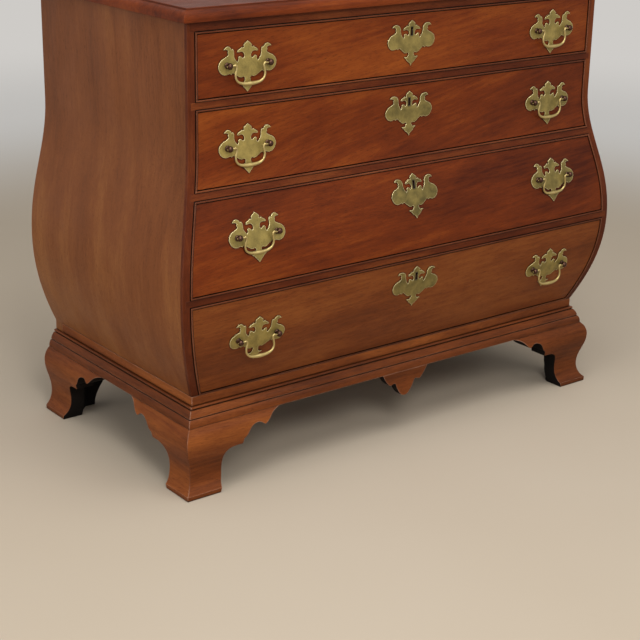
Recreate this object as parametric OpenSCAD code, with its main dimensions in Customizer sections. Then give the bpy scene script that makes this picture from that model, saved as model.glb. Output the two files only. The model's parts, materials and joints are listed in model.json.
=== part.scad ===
// Bombe chest of four drawers on ogee bracket feet.
// Millimetres, +Z up, front towards -Y, origin under the middle of the whole chest.

/* [Case] */
// Width of the case across the straight plinth
plinth_w = 952; // [880:1:1020]
// Depth of the case from its back to the face of the plinth
plinth_d = 494; // [440:1:540]
// Thickness of a case side, measured level
side_t = 17; // [15:0.5:20]
// Depth of the facing stile on the front edge of a side
stile_t = 8; // [6:0.5:10]
// Depth of the drawer rails behind the plinth face
rail_d = 60; // [50:1:90]
// Height of the top rail over the upper drawer
top_rail_h = 20; // [16:1:30]
// How far the rail ends stay inside the outer face of the sides
rail_end_inset = 6; // [5:0.5:9]
// Thickness of the back boards
back_t = 10; // [8:0.5:14]
// Length of the back boards' rebate edge left on the sides
back_lip = 9; // [7:0.5:11]
// Number of back boards
back_count = 3; // [2:1:5]
// Thickness of the bottom board
bottom_t = 19; // [15:0.5:22]
// Depth of the housing of the bottom board in the sides
bottom_housing = 6; // [4:0.5:8]

/* [Top board] */
// Thickness of the top board
top_t = 22; // [18:0.5:28]
// How far the top board passes the case at the front and the sides
top_over = 14; // [8:0.5:20]
// Radius of the rounded edge of the top board
top_round = 13; // [8:0.5:15]
// Height of the small step over the rounded edge
top_step = 3; // [1:0.5:5]

/* [Swell] */
// How far the belly stands out past the plinth
belly_out = 44; // [30:0.5:50]
// Height of the fullest part of the belly
belly_z = 370; // [340:1:400]
// How far the straight upper part stands out past the plinth
neck_out = 3; // [0:0.5:10]
// Height at which the sides become straight
neck_z = 630; // [590:1:680]
// Outward run of the swell for each millimetre of height, where it starts
root_slope = 0.45; // [0.3:0.01:0.55]

/* [Drawers] */
// Height of the opening of the upper drawer
drawer_1_h = 109; // [100:0.5:118]
// Height of the opening of the second drawer
drawer_2_h = 131.5; // [120:0.5:140]
// Height of the opening of the third drawer
drawer_3_h = 154.5; // [145:0.5:165]
// Height of the opening of the lower drawer
drawer_4_h = 176.2; // [165:0.5:185]
// Height of a rail from one opening to the next
rail_h = 19.2; // [17:0.1:24]
// Least thickness of a drawer front
front_t = 20; // [18:0.5:24]
// Gap round a drawer front in its opening
front_gap = 1.8; // [0.8:0.1:2.2]
// Thickness of the drawer sides and back
box_t = 11; // [9:0.5:13]
// Thickness of the drawer bottom
box_bottom_t = 6; // [4:0.5:8]
// Height of the drawer bottom over the lower edge of the drawer sides
bottom_raise = 11; // [10:0.5:14]
// Depth of the grooves that hold the drawer bottom
groove_d = 5; // [3:0.5:6]
// How far the drawer sides stay under the top of the opening
side_drop = 6; // [4:0.5:10]
// How far the drawer back stays under the top of the drawer sides
back_drop = 4; // [2:0.5:8]
// Length of the dovetails in the drawer fronts
tail_l = 12; // [9:0.5:14]
// Height of a dovetail, at least
tail_h = 22; // [18:1:30]
// Wood between two dovetails
tail_gap = 9; // [6:0.5:12]
// How much a dovetail widens above and below
tail_flare = 2; // [1:0.5:3]
// Wood over and under the dovetails
tail_margin = 5; // [3:0.5:8]
// Space between the drawer and the back boards
rear_space = 6; // [3:0.5:12]

/* [Drawer guides] */
// Sideways play between a drawer and its guides
guide_play = 0.8; // [0.5:0.1:1.5]
// Height of the guides over the runners
guide_h = 14; // [8:0.5:18]
// Width of a runner under the drawer side
runner_under = 24; // [18:1:34]
// Width of a drawer stop
stop_w = 36; // [24:1:50]
// Depth of a drawer stop
stop_d = 28; // [18:1:34]
// Height of a drawer stop over the rail
stop_h = 6; // [4:0.5:8]
// Distance of the drawer stops from the middle
stop_x = 230; // [150:1:300]

/* [Cock beads] */
// Width of a cock bead strip
bead_w = 3.6; // [2.8:0.1:4.2]
// Width of the quirk beside the bead
quirk_w = 1.2; // [0.4:0.1:1.6]
// Depth of the quirk beside the bead
quirk_d = 1.8; // [0.6:0.1:2.4]
// How far a bead stands out from the case
bead_out = 1.7; // [1:0.1:2.5]
// Distance from the outer face of a side to a drawer opening
opening_inset = 17.8; // [17:0.1:20]

/* [Base] */
// Height of the underside of the base moulding
base_z = 132; // [120:1:145]
// Height of the base moulding
mould_h = 34.2; // [30:0.2:38]
// How far the base moulding stands out at its lower edge
mould_out = 17.5; // [14:0.1:22]
// Thickness of the base frame
frame_t = 18; // [14:0.5:20]
// Width of the rails of the base frame
frame_w = 70; // [55:1:90]
// Thickness of the plinth band
band_t = 5; // [3:0.5:6]
// Visible height of the plinth band
band_h = 17.7; // [15:0.1:24]
// Shadow gap over the plinth band
band_seam = 0.8; // [0.5:0.1:1.2]
// Length at the back of a side that the plinth band leaves free
band_stop = 26; // [15:1:40]

/* [Feet] */
// How far the toe stands out past the plinth
toe_out = 30; // [24:0.5:34]
// Height of the upright edge of the toe
toe_h = 9; // [6:0.5:12]
// How far the ankle stands out past the plinth
ankle_out = 16.2; // [12:0.2:20]
// Height of the ankle
ankle_z = 42; // [36:1:50]
// How far the knee stands out past the plinth
knee_out = 29.4; // [24:0.2:34]
// Height of the knee
knee_z = 106; // [98:1:112]
// How far a bracket reaches in behind the plinth face
bracket_in = 13; // [10:1:24]
// Width of a bracket at the floor, from the toe
toe_w = 70.5; // [64:0.5:84]
// Length of a bracket's wing, from the toe
wing_l = 208; // [190:1:230]
// Thickness of the plain rear brackets
rear_bracket_t = 20; // [16:1:24]
// Distance of the plain rear brackets from the back
rear_bracket_in = 16; // [0:1:24]
// Distance from the plinth's side to the end of a plain rear bracket
rear_bracket_l = 150; // [130:1:180]
// Distance from the plinth's side at which a plain rear bracket ends at the floor
rear_foot_w = 61; // [50:1:80]
// Width of the three-cornered block inside a foot
block_w = 30; // [24:1:40]
// Gap between the blocks and the floor
block_lift = 3; // [1:0.5:8]
// Length of the glue strips along the wings
strip_l = 50; // [40:1:70]
// Side of the glue strips
strip_w = 20; // [14:1:26]
// Gap between a block and the next glue strip
strip_gap = 4; // [2:1:8]
// Width of the pendant under the base moulding
pendant_w = 114; // [100:1:130]
// Height of the pendant
pendant_h = 52; // [40:0.5:60]
// How far the pendant sits to the right of the middle
pendant_x = 5; // [0:0.5:8]
// Thickness of the pendant
pendant_t = 18; // [14:1:24]
// How far the pendant's face stands out past the plinth
pendant_out = 17.2; // [8:0.1:17.4]

/* [Pulls] */
// Distance of the pulls' middle from the outer face of the plinth
pull_inset = 115.5; // [90:0.5:150]
// Distance between the two posts of a pull
post_span = 83; // [80:0.1:90]
// Width of an escutcheon
plate_w = 111; // [100:0.1:116]
// How far the pulls of the lower two drawers sit over the middle
low_pull_rise = 12; // [0:0.5:16]
// How far all pulls sit under the places that the middles and that rise give
pull_sink = 2.5; // [0:0.5:5]
// Thickness of the brass plates
plate_t = 1.6; // [1.2:0.1:2.2]
// Size of a pull's plate against the escutcheon
pull_plate_scale = 1.06; // [1:0.01:1.08]
// How far the bail's axis stands off the drawer front
pivot_out = 9.5; // [9:0.1:12]
// Radius of a post's ball
ball_r = 5.6; // [5:0.1:6.2]
// Radius of a post's stem
stem_r = 3.4; // [3:0.1:4]
// Radius of the threaded shank
shank_r = 2.4; // [2:0.1:2.8]
// Play of the shank in the drawer front
shank_play = 0.25; // [0.2:0.05:0.4]
// Wood left between a plate and its nut
post_grip = 16; // [14:0.5:17]
// Radius of a nut
nut_r = 5.5; // [5:0.1:6.5]
// Thickness of a nut
nut_t = 3; // [2.5:0.1:3.5]
// Room round a nut in its pocket
nut_room = 1; // [0.5:0.1:2]
// Radius of a bail's pin
pin_r = 1.8; // [1.6:0.1:2]
// Play of the pin in the post
pin_play = 0.08; // [0.05:0.01:0.1]
// Drop of the bail's grip under its axis
bail_drop = 32; // [28:0.5:36]
// Radius of the bail's grip at its middle
grip_r = 3.7; // [3:0.1:4.2]
// Least gap between a bail at rest and its plate
bail_gap = 0.5; // [0.4:0.1:1]

/* [Locks] */
// Distance of a keyhole under the top of its opening
keyhole_drop = 27.5; // [26:0.5:32]
// Radius of the round part of a keyhole
key_hole_r = 2.6; // [2.2:0.1:3]
// Width of the slot of a keyhole at its foot
key_slot_w = 4; // [3.4:0.1:4.6]
// How far the slot of a keyhole reaches down
key_slot_h = 11.8; // [9:0.1:13]
// Room in the wood round a keyhole
key_room = 0.4; // [0.2:0.1:0.8]
// Width of a lock
lock_w = 56; // [44:1:64]
// Thickness of a lock
lock_t = 11; // [9:0.5:11]
// Wood in front of a lock, at most
lock_cover = 22; // [18:0.5:26]
// Height of a lock under its keyhole
lock_under = 18; // [16:0.5:22]
// Width of a bolt
bolt_w = 20; // [14:0.5:26]
// Thickness of a bolt
bolt_t = 4.6; // [4:0.1:5.5]
// Length of a bolt
bolt_l = 16; // [12:0.5:18]
// Travel of a bolt
bolt_throw = 8; // [6:0.5:10]
// Play round a bolt in its lock and in the rail
bolt_play = 0.3; // [0.2:0.05:0.6]

/* [Hidden] */

$fn = 32;
// Hairline left between glued pieces that share a node
glue_line = 0.1;
// Running gap between sliding wood faces
slide_gap = 0.3;
// Extra length of cutting shapes
cut = 1;
// Longer than anything in the chest
far = 2 * plinth_w;

// Heights of the drawer openings, upper drawer first
frame_z = base_z + frame_t;
mould_top = base_z + mould_h;
band_top = mould_top + band_h;
swell_z = band_top + band_seam;
opening_h = [drawer_1_h, drawer_2_h, drawer_3_h, drawer_4_h];
bottom_4 = band_top + bead_w;
bottom_3 = bottom_4 + drawer_4_h + rail_h;
bottom_2 = bottom_3 + drawer_3_h + rail_h;
bottom_1 = bottom_2 + drawer_2_h + rail_h;
opening_z = [bottom_1, bottom_2, bottom_3, bottom_4];
function open_low(k) = opening_z[k - 1];
function open_high(k) = opening_z[k - 1] + opening_h[k - 1];
case_top = open_high(1) + top_rail_h;

// Swell of the front and the sides: two Bezier curves, the same for both
function bezier(a, b, c, d, t) =
    pow(1 - t, 3) * a + 3 * pow(1 - t, 2) * t * b + 3 * (1 - t) * t * t * c + pow(t, 3) * d;
function bezier_run(a, b, c, d, n) = [for (i = [0 : n - 1]) bezier(a, b, c, d, i / n)];
root_handle = 50;
belly_handle_low = 75;
belly_handle_high = 110;
neck_handle = 90;
swell_curve = concat(
    [[0, 0]],
    bezier_run([swell_z, 0], [swell_z + root_handle, root_slope * root_handle],
               [belly_z - belly_handle_low, belly_out], [belly_z, belly_out], 12),
    bezier_run([belly_z, belly_out], [belly_z + belly_handle_high, belly_out],
               [neck_z - neck_handle, neck_out], [neck_z, neck_out], 16),
    [[neck_z, neck_out], [2 * neck_z, neck_out]]);
function swell(z) = lookup(z, swell_curve);
function knots(z0, z1) =
    concat([z0], [for (p = swell_curve) if (p[0] > z0 + 0.4 && p[0] < z1 - 0.4) p[0]], [z1]);
function reversed(a) = [for (i = [len(a) - 1 : -1 : 0]) a[i]];

// Places of the case faces. The origin is halfway between the back and the foremost brass.
hardware_reach = 6;
back_y = (plinth_d + belly_out + hardware_reach) / 2;
plinth_y = back_y - plinth_d;
function front_y(z) = plinth_y - swell(z);
function side_x(z) = plinth_w / 2 + swell(z);

// Smooth curve through hand placed points, n steps for each span, without the last point
function through(a, b, c, d, t) =
    0.5 * (2 * b + (c - a) * t + (2 * a - 5 * b + 4 * c - d) * t * t + (3 * b - a - 3 * c + d) * t * t * t);
function smooth(p, n) =
    [for (i = [0 : len(p) - 2]) for (j = [0 : n - 1])
        through(p[max(i - 1, 0)], p[i], p[i + 1], p[min(i + 2, len(p) - 1)], j / n)];
function chain(parts, n) = [for (p = parts) each smooth(p, n)];

// Draws its child, an outline in X and Z, from y0 to y1
module run_y(y0, y1) {
    translate([0, y1, 0]) rotate([90, 0, 0]) linear_extrude(y1 - y0) children();
}

// Draws its child, an outline in Y and Z, from x0 to x1
module run_x(x0, x1) {
    translate([x0, 0, 0]) rotate([90, 0, 90]) linear_extrude(x1 - x0) children();
}

// Box from one corner to the other
module block(low, high) {
    translate(low) cube(high - low);
}

// Outline in X and Z of all that lies at least inset inside both case sides
module width_outline(z0, z1, inset) {
    z = knots(z0, z1);
    polygon(concat([for (h = z) [side_x(h) - inset, h]], [for (h = reversed(z)) [inset - side_x(h), h]]));
}

// Outline in X and Z of a strip on the right side, between two depths under its outer face
module side_outline(z0, z1, outer, inner) {
    z = knots(z0, z1);
    polygon(concat([for (h = z) [side_x(h) - outer, h]], [for (h = reversed(z)) [side_x(h) - inner, h]]));
}

// Outline in Y and Z of a layer under the front face, between two depths
module face_outline(z0, z1, outer, inner) {
    z = knots(z0, z1);
    polygon(concat([for (h = z) [front_y(h) + outer, h]], [for (h = reversed(z)) [front_y(h) + inner, h]]));
}

// Outline in Y and Z from the front face back to a flat plane
module flat_back_outline(z0, z1, y1) {
    polygon(concat([for (h = knots(z0, z1)) [front_y(h), h]], [[y1, z1], [y1, z0]]));
}

// Wedge at the front left corner that keeps the front half of a mitre
module front_half() {
    translate([-plinth_w / 2, plinth_y, 0]) linear_extrude(case_top)
        polygon([[glue_line - toe_out * 2, -toe_out * 2], [far, -toe_out * 2], [far, far - glue_line]]);
}

// Wedge at the front left corner that keeps the side half of a mitre
module side_half() {
    translate([-plinth_w / 2, plinth_y, 0]) linear_extrude(case_top)
        polygon([[-toe_out * 2, glue_line - toe_out * 2], [far - glue_line, far], [-toe_out * 2, far]]);
}

// Case

module top_board() {
    z0 = case_top;
    z1 = z0 + top_t;
    half = side_x(z0) + top_over;
    front = front_y(z0) - top_over;
    arc_z = z1 - top_step - top_round;
    edge = concat([[0, z0], [0, arc_z]],
                  [for (i = [1 : 6]) [top_round * (1 - cos(i * 15)), arc_z + top_round * sin(i * 15)]],
                  [[top_round + 1, z1 - top_step], [top_round + 1, z1]]);
    color("saddlebrown") intersection() {
        run_y(front - cut, back_y)
            polygon(concat([for (p = edge) [half - p[0], p[1]]],
                           [for (p = reversed(edge)) [p[0] - half, p[1]]]));
        run_x(-half - cut, half + cut)
            polygon(concat([for (p = edge) [front + p[0], p[1]]], [[back_y, z1], [back_y, z0]]));
    }
}

// Right case side, before the housings are cut
module side_blank() {
    intersection() {
        run_y(front_y(belly_z) - cut, back_y) side_outline(swell_z, case_top, 0, side_t);
        run_x(0, far)
            polygon(concat([for (h = knots(swell_z, case_top)) [front_y(h) + stile_t, h]],
                           [[back_y, case_top], [back_y, swell_z]]));
    }
    block([plinth_w / 2 - side_t, plinth_y + band_t, frame_z], [plinth_w / 2 - band_t, back_y, swell_z]);
    block([plinth_w / 2 - side_t, back_y - band_stop, mould_top], [plinth_w / 2, back_y, swell_z]);
}

// Housings in the right case side for the ends of all rails
module side_housings() {
    low_half = bottom_rail_half();
    for (k = [1 : 4])
        run_y(-far, plinth_y + rail_d)
            width_outline(open_high(k), k == 1 ? case_top + cut : open_low(k - 1), rail_end_inset);
    block([-low_half, -far, frame_z - cut], [low_half, plinth_y + rail_d, open_low(4)]);
}

// Notches in the stiles for the faces of the rails over each drawer
module stile_housings() {
    for (k = [1 : 4])
        run_y(-far, back_y)
            width_outline(open_high(k) + bead_w, k == 1 ? case_top + cut : open_low(k - 1) - bead_w,
                          rail_end_inset);
}

module case_side() {
    difference() {
        side_blank();
        side_housings();
        bottom_solid();
        back_solid(frame_z - cut, case_top + cut);
    }
}

module side_left() {
    color("sienna") mirror([1, 0, 0]) case_side();
}

module side_right() {
    color("sienna") case_side();
}

module back_solid(z0, z1) {
    run_y(back_y - back_t, back_y + cut) width_outline(z0, z1, back_lip);
}

module back_boards() {
    pitch = (case_top - frame_z) / back_count;
    color("peru") intersection() {
        block([-far, back_y - back_t, 0], [far, back_y, far]);
        for (i = [0 : back_count - 1])
            back_solid(frame_z + i * pitch + glue_line * 3, frame_z + (i + 1) * pitch - glue_line * 3);
    }
}

module bottom_solid() {
    half = plinth_w / 2 - side_t + bottom_housing;
    z1 = open_low(4);
    block([-half, plinth_y + rail_d, z1 - bottom_t], [half, back_y - back_t, z1]);
}

module bottom_board() {
    color("peru") bottom_solid();
}

module front_stiles() {
    color("saddlebrown") for (s = [0, 1]) mirror([s, 0, 0]) difference() {
        intersection() {
            run_y(front_y(belly_z) - cut, back_y)
                side_outline(swell_z, case_top, 0, opening_inset - bead_w);
            run_x(0, far) face_outline(swell_z, case_top, 0, stile_t);
        }
        stile_housings();
    }
}

module top_rail_solid() {
    z0 = open_high(1);
    z = z0 + bead_w;
    intersection() {
        run_y(front_y(z0) - cut, plinth_y + rail_d) width_outline(z0, case_top, rail_end_inset);
        run_x(-far, far) polygon([[front_y(z), z], [front_y(z), case_top], [plinth_y + rail_d, case_top],
                                  [plinth_y + rail_d, z0], [front_y(z0) + stile_t, z0],
                                  [front_y(z) + stile_t, z]]);
    }
}

module top_rail() {
    color("saddlebrown") difference() {
        top_rail_solid();
        bolt_mortise(1);
    }
}

// Rail between drawer k and the drawer over it, rebated above and below for the cock beads
module rail_solid(k) {
    z0 = open_high(k);
    z1 = open_low(k - 1);
    face = knots(z0 + bead_w, z1 - bead_w);
    y1 = plinth_y + rail_d;
    intersection() {
        run_y(front_y(belly_z) - cut, y1) width_outline(z0, z1, rail_end_inset);
        run_x(-far, far)
            polygon(concat([for (h = face) [front_y(h), h]],
                           [[front_y(z1 - bead_w) + stile_t, z1 - bead_w], [front_y(z1) + stile_t, z1],
                            [y1, z1], [y1, z0],
                            [front_y(z0) + stile_t, z0], [front_y(z0 + bead_w) + stile_t, z0 + bead_w]]));
    }
}

function bottom_rail_half() = plinth_w / 2 - max(rail_end_inset, band_t + cut);

module bottom_rail_solid() {
    z1 = open_low(4);
    run_x(-bottom_rail_half(), bottom_rail_half())
        polygon([[plinth_y + band_t, frame_z], [plinth_y + band_t, band_top],
                 [plinth_y + stile_t, band_top], [plinth_y + stile_t, z1],
                 [plinth_y + rail_d, z1], [plinth_y + rail_d, frame_z]]);
}

module drawer_rails() {
    color("saddlebrown") {
        for (k = [2 : 4]) difference() {
            rail_solid(k);
            bolt_mortise(k);
        }
        bottom_rail_solid();
    }
}

// Outline in X and Z of opening k, grown by a width
module opening_outline(k, grow) {
    z = knots(open_low(k) - grow, open_high(k) + grow);
    polygon(concat([for (h = z) [side_x(h) - opening_inset + grow, h]],
                   [for (h = reversed(z)) [opening_inset - grow - side_x(h), h]]));
}

// Thin cuts through the mitres at the four corners of opening k
module mitre_cuts(k) {
    for (s = [-1, 1]) for (e = [[open_low(k), -1], [open_high(k), 1]]) {
        x0 = side_x(e[0]) - opening_inset;
        x1 = side_x(e[0] + e[1] * bead_w) - opening_inset + bead_w;
        translate([s * x0, e[0]])
            rotate(atan2(e[1] * bead_w, s * (x1 - x0)))
                translate([-cut, -glue_line / 2]) square([bead_w * 3, glue_line]);
    }
}

// Layer of the four strips round opening k, between two widths from the opening and two depths
module bead_layer(k, outer, front, rear) {
    z0 = open_low(k) - bead_w - cut;
    z1 = open_high(k) + bead_w + cut;
    intersection() {
        run_y(front_y(belly_z) - 2 * bead_out, back_y) difference() {
            opening_outline(k, outer);
            opening_outline(k, 0);
            mitre_cuts(k);
        }
        run_x(-far, far) face_outline(z0, z1, front, rear);
    }
}

module cock_beads() {
    color("brown") for (k = [1 : 4]) {
        bead_layer(k, bead_w, quirk_d, stile_t);
        bead_layer(k, bead_w - quirk_w, -bead_out, quirk_d);
    }
}

// Half width of drawer k's box, which has to pass the narrower end of its opening
function box_half(k) =
    min(side_x(open_low(k)), side_x(open_high(k)))
    - max(opening_inset + front_gap, side_t + guide_play + cut);
// Flat inner face of drawer k's front
function front_back(k) = max(front_y(open_low(k)), front_y(open_high(k))) + front_t;
function box_rear(k) = back_y - back_t - rear_space;

module runners_and_kickers() {
    y0 = plinth_y + rail_d;
    y1 = back_y - back_t;
    color("peru") for (s = [0, 1]) mirror([s, 0, 0]) {
        for (k = [1 : 4]) {
            z1 = open_low(k);
            z0 = z1 - rail_h;
            guide_x = box_half(k) + guide_play;
            run_y(y0, y1) {
                if (k < 4)
                    polygon(concat([for (h = knots(z0, z1 + guide_h)) [side_x(h) - side_t, h]],
                                   [[guide_x, z1 + guide_h], [guide_x, z1],
                                    [box_half(k) - runner_under, z1], [box_half(k) - runner_under, z0]]));
                else
                    polygon(concat([for (h = knots(z1, z1 + guide_h)) [side_x(h) - side_t, h]],
                                   [[guide_x, z1 + guide_h], [guide_x, z1]]));
            }
        }
        kicker_z = open_high(1) - side_drop + slide_gap * 5;
        block([box_half(1) - runner_under, y0, kicker_z], [box_half(1), y1, case_top]);
    }
}

module drawer_stops() {
    color("peru") for (k = [1 : 4]) for (s = [-1, 1]) {
        y0 = front_back(k) + slide_gap;
        z0 = open_low(k);
        block([s * stop_x - stop_w / 2, y0, z0], [s * stop_x + stop_w / 2, y0 + stop_d, z0 + stop_h]);
    }
}

// Base

module base_frame() {
    half = plinth_w / 2 - band_t;
    y0 = plinth_y + band_t;
    g = glue_line;
    color("peru") {
        block([-half, y0, base_z], [half, y0 + frame_w, frame_z]);
        block([-half, back_y - frame_w, base_z], [half, back_y, frame_z]);
        for (s = [0, 1]) mirror([s, 0, 0])
            block([half - frame_w, y0 + frame_w + g, base_z], [half, back_y - frame_w - g, frame_z]);
    }
}

// Front and side runs of a trim with the given section, mitred at the front corners.
// The section is an outline of distance past the plinth face, and height.
module mitred_trim(rear_y) {
    intersection() {
        run_x(-far, far) translate([plinth_y, 0]) mirror([1, 0]) children();
        front_half();
        mirror([1, 0, 0]) front_half();
    }
    for (s = [0, 1]) mirror([s, 0, 0]) intersection() {
        run_y(plinth_y - far / 10, rear_y) translate([-plinth_w / 2, 0]) mirror([1, 0]) children();
        side_half();
    }
}

module plinth_band() {
    color("saddlebrown") mitred_trim(back_y - band_stop)
        polygon([[-band_t, mould_top], [0, mould_top], [0, band_top], [-band_t, band_top]]);
}

// Section of the base moulding: a nosing, a quirk, a long round, a quirk and a rounded lower band
function mould_section() =
    let (nose_r = 2.3, nose_x = 3, quirk = 1, z2 = mould_top - 2 * nose_r, z3 = base_z + 14.6)
    concat([[-band_t, base_z], [mould_out, base_z]],
           bezier_run([mould_out, base_z + 2], [mould_out, base_z + 6],
                      [mould_out - 1.2, base_z + 11.5], [mould_out - 4.1, z3 - 0.4], 6),
           [[mould_out - 4.1, z3 - 0.4], [mould_out - 6, z3 - 0.4], [mould_out - 6, z3 + 0.6]],
           bezier_run([mould_out - 5, z3 + 1.4], [mould_out - 6, z3 + 7], [nose_x + 5.2, z2 - 3],
                      [nose_x + 2.4, z2 - quirk], 6),
           [[nose_x + 2.4, z2 - quirk], [nose_x, z2 - quirk], [nose_x, z2]],
           [for (i = [0 : 6]) [nose_x + nose_r * sin(i * 30), z2 + nose_r * (1 - cos(i * 30))]],
           [[-band_t, mould_top]]);

module base_moulding() {
    color("saddlebrown") mitred_trim(back_y) polygon(mould_section());
}

// Ogee of a foot: distance past the plinth face, and height, from the floor up.
// Its bends are shares of the rise to the ankle, of the rise to the knee, and of the rest.
toe_rise = ankle_z - toe_h;
shin_rise = knee_z - ankle_z;
top_rise = base_z - knee_z;
ogee = concat(
    [[toe_out - 1, 0], [toe_out, 2]],
    bezier_run([toe_out, toe_h], [toe_out - toe_rise * 0.24, toe_h + toe_rise * 0.18],
               [ankle_out, ankle_z - toe_rise * 0.485], [ankle_out, ankle_z], 7),
    bezier_run([ankle_out, ankle_z], [ankle_out, ankle_z + shin_rise * 0.375],
               [knee_out, knee_z - shin_rise * 0.375], [knee_out, knee_z], 8),
    bezier_run([knee_out, knee_z], [knee_out, knee_z + top_rise * 0.5],
               [mould_out + top_rise * 0.23, base_z - top_rise * 0.154], [mould_out, base_z], 6),
    [[mould_out, base_z]]);

// Sawn edge of a bracket: distance from the toe, and height, from the floor to the end of the wing.
// Its points are shares of the wing past the foot, and shares of the foot's height.
function edge_point(x, z) = [toe_w + (wing_l - toe_w) * x, base_z * z];
bracket_edge = chain([
    [edge_point(0, 0), edge_point(0.018, 0.06), edge_point(0.047, 0.15), edge_point(0.069, 0.24),
     edge_point(0.08, 0.41), edge_point(0.095, 0.49), edge_point(0.13, 0.56), edge_point(0.196, 0.6),
     edge_point(0.273, 0.614), edge_point(0.378, 0.615)],
    [edge_point(0.378, 0.615), edge_point(0.385, 0.69)],
    [edge_point(0.385, 0.69), edge_point(0.425, 0.723), edge_point(0.447, 0.758), edge_point(0.469, 0.803),
     edge_point(0.498, 0.84), edge_point(0.542, 0.866), edge_point(0.6, 0.88), edge_point(0.651, 0.871),
     edge_point(0.691, 0.84), edge_point(0.72, 0.826)],
    [edge_point(0.72, 0.826), edge_point(0.76, 0.852), edge_point(0.81, 0.902), edge_point(0.858, 0.947),
     edge_point(0.92, 0.977), edge_point(1, 1)]], 2);

// Side bracket at the front left, as an outline over its length from y0, seen from the side
module bracket_outline() {
    polygon(concat([[-far / 10, 0]], bracket_edge, [[wing_l, base_z], [-far / 10, base_z]]));
}

module ogee_outline() {
    polygon(concat(ogee, [[-bracket_in, base_z], [-bracket_in, 0]]));
}

// Front face bracket of the front left foot
module front_bracket() {
    intersection() {
        run_x(-far, far) translate([plinth_y, 0]) mirror([1, 0]) ogee_outline();
        run_y(plinth_y - far / 10, back_y) translate([-plinth_w / 2 - toe_out, 0]) bracket_outline();
        front_half();
    }
}

// Side bracket of the front left foot
module front_side_bracket() {
    intersection() {
        run_y(plinth_y - far / 10, back_y) translate([-plinth_w / 2, 0]) mirror([1, 0]) ogee_outline();
        run_x(-far, far) translate([plinth_y - toe_out, 0]) bracket_outline();
        side_half();
    }
}

// Side bracket of the rear left foot, square at the back
module rear_side_bracket() {
    intersection() {
        run_y(plinth_y, back_y) translate([-plinth_w / 2, 0]) mirror([1, 0]) ogee_outline();
        run_x(-far, far) translate([back_y, 0]) mirror([1, 0]) bracket_outline();
    }
}

// Plain rear bracket of the rear left foot, with one hollow curve
module rear_bracket() {
    y1 = back_y - rear_bracket_in;
    x0 = bracket_in + glue_line;
    edge = bezier_run([rear_foot_w, 0], [rear_foot_w, base_z * 0.24], [rear_foot_w * 1.47, base_z * 0.4],
                      [rear_bracket_l, base_z], 8);
    run_y(y1 - rear_bracket_t, y1) translate([-plinth_w / 2, 0])
        polygon(concat([[x0, 0]], edge, [[rear_bracket_l, base_z], [x0, base_z]]));
}

module foot_front_left() {
    color("sienna") {
        front_bracket();
        front_side_bracket();
    }
}

module foot_front_right() {
    color("sienna") mirror([1, 0, 0]) {
        front_bracket();
        front_side_bracket();
    }
}

module foot_rear_left() {
    color("sienna") {
        rear_side_bracket();
        rear_bracket();
    }
}

module foot_rear_right() {
    color("sienna") mirror([1, 0, 0]) {
        rear_side_bracket();
        rear_bracket();
    }
}

// Upright three-cornered block in the corner of a foot, its square corner at x and y
module corner_block(x, y, ahead) {
    translate([x, y, block_lift]) linear_extrude(base_z - block_lift)
        polygon([[0, 0], [-block_w, 0], [0, ahead * block_w]]);
}

// Upright blocks in the corners of the feet, and glue strips along the wings
module foot_blocks() {
    x0 = plinth_w / 2 - bracket_in;
    y0 = plinth_y + bracket_in;
    y1 = back_y - rear_bracket_in - rear_bracket_t;
    z0 = base_z - strip_w;
    from = block_w + strip_gap;
    color("dimgray") for (s = [0, 1]) mirror([s, 0, 0]) {
        corner_block(x0, y0, 1);
        corner_block(x0, y1, -1);
        block([x0 - from - strip_l, y0, z0], [x0 - from, y0 + strip_w, base_z]);
        block([x0 - strip_w, y0 + from, z0], [x0, y0 + from + strip_l, base_z]);
        block([x0 - strip_w, y1 - from - strip_l, z0], [x0, y1 - from, base_z]);
    }
}

// Right half of the pendant's sawn edge, from the base moulding down to the middle.
// Its points are shares of the pendant's width, and shares of its height.
function pendant_point(x, z) = [pendant_w * x, base_z - pendant_h * z];
pendant_edge = chain([
    [pendant_point(0.5, 0), pendant_point(0.439, 0.212), pendant_point(0.386, 0.365),
     pendant_point(0.342, 0.462), pendant_point(0.311, 0.471), pendant_point(0.281, 0.452),
     pendant_point(0.25, 0.423)],
    [pendant_point(0.25, 0.423), pendant_point(0.21, 0.452)],
    [pendant_point(0.21, 0.452), pendant_point(0.184, 0.596), pendant_point(0.149, 0.731),
     pendant_point(0.11, 0.856), pendant_point(0.061, 0.962), pendant_point(0, 1)]], 3);

module pendant() {
    y0 = plinth_y - pendant_out;
    color("sienna") run_y(y0, y0 + pendant_t) translate([pendant_x, 0])
        polygon(concat(pendant_edge, [pendant_point(0, 1)],
                       [for (p = reversed(pendant_edge)) [-p[0], p[1]]]));
}

// Drawers

// Heights of the pulls and keyholes
pull_x = plinth_w / 2 - pull_inset;
function pull_z(k) = (open_low(k) + open_high(k)) / 2 - pull_sink + (k > 2 ? low_pull_rise : 0);
function keyhole_z(k) = open_high(k) - keyhole_drop;
function lean(z) = atan((swell(z + 2) - swell(z - 2)) / 4);

// Front plane of the lock of drawer k
function lock_y(k) = min(front_y(keyhole_z(k)) + lock_cover, front_back(k) - lock_t);
function lock_top(k) = open_high(k) - front_gap;

// Moves its children to a post: X along the chest, -Y straight out of the drawer front
module at_post(x, k) {
    z = pull_z(k);
    translate([x, front_y(z), z]) rotate([lean(z), 0, 0]) children();
}

// The four posts of drawer k
module each_post(k) {
    for (p = [-1, 1]) for (s = [-1, 1]) at_post(p * pull_x + s * post_span / 2, k) children();
}

// Cylinder along the local Y from y0 to y1
module rod_y(r, y0, y1) {
    translate([0, y1, 0]) rotate([90, 0, 0]) cylinder(r = r, h = y1 - y0);
}

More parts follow.
